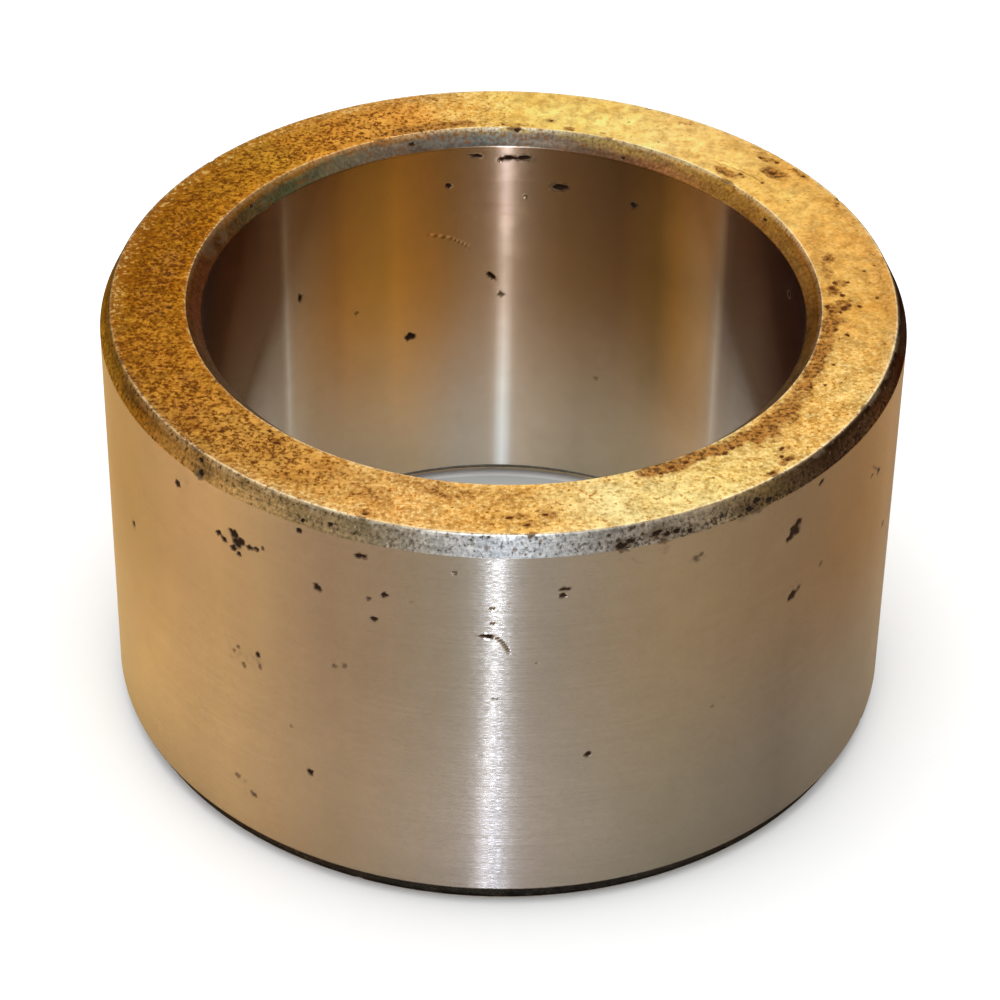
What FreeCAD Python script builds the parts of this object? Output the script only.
import FreeCAD, Part
import Sketcher

import math
import os

# Plain sleeve bushing, one solid ring of bearing bronze.
#
# The ring is turned and bored from one blank, then ground on the outside and in the bore.
# The end faces stay as faced.  Both ends are alike, so the bushing can be pressed in either
# way round: each has a shallow lead-in chamfer on the outside, twice as long as it is deep,
# and a 45 degree chamfer at the mouth of the bore that lets the shaft in.
#
# Frame: millimetres, +Z up along the bore, origin on the bore axis in the lower end face.

doc = FreeCAD.newDocument("sleeve_bushing")

# ---------------------------------------------------------------- driving dimensions
DIMENSIONS = [
    # alias, value, what it is
    ("outside_dia", 80.0, "outside diameter, the housing seat"),
    ("bore_dia", 60.0, "bore diameter, the running surface"),
    ("length_all", 45.0, "overall length between the end faces"),
    ("lead_axial", 2.0, "lead-in chamfer round the outside of each end, along the axis"),
    ("lead_radial", 1.0, "lead-in chamfer round the outside of each end, across the axis"),
    ("mouth_size", 1.5, "45 degree chamfer at each mouth of the bore"),
]

EDGE_TOLERANCE = 1e-4  # radius and height of an edge that is looked up
SECTION_TOLERANCE = 0.01  # outside radius half way along a lead-in
END_TOLERANCE = 1e-6  # heights of the two end faces
VOLUME_TOLERANCE = 1.0  # mm3, metal taken out by the bore

sheet = doc.addObject("Spreadsheet::Sheet", "dimensions")
sheet.set("A1", "dimension")
sheet.set("B1", "millimetres")
sheet.set("C1", "what it is")
for row, (alias, value, words) in enumerate(DIMENSIONS, start=2):
    sheet.set("A%d" % row, alias)
    sheet.set("B%d" % row, "%.6g" % value)
    sheet.setAlias("B%d" % row, alias)
    sheet.set("C%d" % row, words)
doc.recompute()


def dim(alias):
    return float(sheet.get(alias))


# ---------------------------------------------------------------- sketches
def origin_plane(body, role):
    for feature in body.Origin.OriginFeatures:
        if feature.Role == role:
            return feature
    raise RuntimeError("no origin plane " + role)


def circle_sketch(body, name, alias):
    """A circle on the axis, in the lower end face, its diameter bound to the sheet."""
    sketch = body.newObject("Sketcher::SketchObject", name)
    sketch.AttachmentSupport = [(origin_plane(body, "XY_Plane"), "")]
    sketch.MapMode = "FlatFace"
    centre, axis = FreeCAD.Vector(0, 0, 0), FreeCAD.Vector(0, 0, 1)
    circle = sketch.addGeometry(Part.Circle(centre, axis, dim(alias) / 2), False)
    # Point 3 of a circle is its centre; point 1 of geometry -1 is the sketch origin.
    sketch.addConstraint(Sketcher.Constraint("Coincident", circle, 3, -1, 1))
    index = sketch.addConstraint(Sketcher.Constraint("Diameter", circle, dim(alias)))
    sketch.renameConstraint(index, "diameter")
    sketch.setExpression("Constraints.diameter", "dimensions." + alias)
    sketch.Visibility = False
    return sketch


# ---------------------------------------------------------------- blank and bore
def add_blank(body):
    """The blank: a round bar the length of the bushing."""
    outline = circle_sketch(body, "blank_outline", "outside_dia")
    blank = body.newObject("PartDesign::Pad", "blank")
    blank.Profile = outline
    blank.setExpression("Length", "dimensions.length_all")
    doc.recompute()
    return blank


def add_bore(body, blank):
    """The bore, cut right through the blank."""
    outline = circle_sketch(body, "bore_outline", "bore_dia")
    bore = body.newObject("PartDesign::Pocket", "bore")
    bore.Profile = outline
    bore.Type = "ThroughAll"
    bore.Reversed = True  # the sketch lies in the lower end face, so the cut runs up the axis
    doc.recompute()
    wanted = math.pi * (dim("bore_dia") / 2) ** 2 * dim("length_all")
    removed = blank.Shape.Volume - bore.Shape.Volume
    if abs(removed - wanted) > VOLUME_TOLERANCE:
        raise RuntimeError("the bore did not cut: %.1f of %.1f" % (removed, wanted))
    return bore


# ---------------------------------------------------------------- chamfers
def edge_at(shape, radius, z):
    """The name of the circular edge of that radius at that height."""
    for number, edge in enumerate(shape.Edges, start=1):
        if (
            isinstance(edge.Curve, Part.Circle)
            and abs(edge.Curve.Radius - radius) < EDGE_TOLERANCE
            and abs(edge.BoundBox.Center.z - z) < EDGE_TOLERANCE
        ):
            return "Edge%d" % number
    raise RuntimeError("no edge of radius %.3f at z %.3f" % (radius, z))


def outside_radius(shape, z):
    """The outside radius of the shape at a height."""
    return max(
        math.hypot(vertex.Point.x, vertex.Point.y)
        for wire in shape.slice(FreeCAD.Vector(0, 0, 1), z)
        for vertex in wire.Vertexes
    )


def add_chamfer(body, name, base, dia_alias, z_end, kind, sizes):
    """A chamfer on one circular edge of an end; sizes maps its properties to aliases."""
    chamfer = body.newObject("PartDesign::Chamfer", name)
    chamfer.Base = (base, [edge_at(base.Shape, dim(dia_alias) / 2, z_end)])
    chamfer.ChamferType = kind
    for size_property, alias in sizes.items():
        chamfer.setExpression(size_property, "dimensions." + alias)
    doc.recompute()
    return chamfer


def add_lead_in(body, name, base, z_end, inward):
    """The lead-in round the outside of one end; inward is the sign of Z into the ring.

    The two sizes are measured on the two faces that meet in the edge, in the order the
    kernel lists them, so the radius half way along shows whether they must change places.
    """
    sizes = {"Size": "lead_axial", "Size2": "lead_radial"}
    chamfer = add_chamfer(body, name, base, "outside_dia", z_end, "Two distances", sizes)
    half_way = z_end + inward * dim("lead_axial") / 2
    wanted = dim("outside_dia") / 2 - dim("lead_radial") / 2

    def is_off():
        return abs(outside_radius(chamfer.Shape, half_way) - wanted) > SECTION_TOLERANCE

    if is_off():
        chamfer.FlipDirection = True
        doc.recompute()
    if is_off():
        raise RuntimeError("%s has its two sizes the wrong way round" % name)
    return chamfer


def add_mouth(body, name, base, z_end):
    """The 45 degree chamfer at one mouth of the bore."""
    sizes = {"Size": "mouth_size"}
    return add_chamfer(body, name, base, "bore_dia", z_end, "Equal distance", sizes)


# ---------------------------------------------------------------- the bushing
def build_bushing():
    body = doc.addObject("PartDesign::Body", "bushing_sleeve")
    body.Label = "bushing_sleeve"
    tip = add_bore(body, add_blank(body))
    # end, its height, the sign of Z into the ring
    ends = [("upper", dim("length_all"), -1), ("lower", 0.0, 1)]
    for end, z_end, inward in ends:
        tip = add_lead_in(body, "lead_" + end, tip, z_end, inward)
    for end, z_end, _ in ends:
        tip = add_mouth(body, "mouth_" + end, tip, z_end)
    body.Tip = tip
    doc.recompute()
    return body


bushing = build_bushing()

# ---------------------------------------------------------------- export
for thing in doc.Objects:
    bad = [state for state in thing.State if state in ("Invalid", "Error")]
    if bad:
        raise RuntimeError("%s is %s" % (thing.Label, bad))

shape = bushing.Shape
if shape.isNull() or not shape.isValid() or len(shape.Solids) != 1:
    raise RuntimeError("%s has no valid single solid" % bushing.Label)
box = shape.BoundBox
if abs(box.ZMin) > END_TOLERANCE or abs(box.ZMax - dim("length_all")) > END_TOLERANCE:
    raise RuntimeError("%s is not where it should be" % bushing.Label)

os.makedirs("parts", exist_ok=True)
shape.exportStep("parts/%s.step" % bushing.Label)
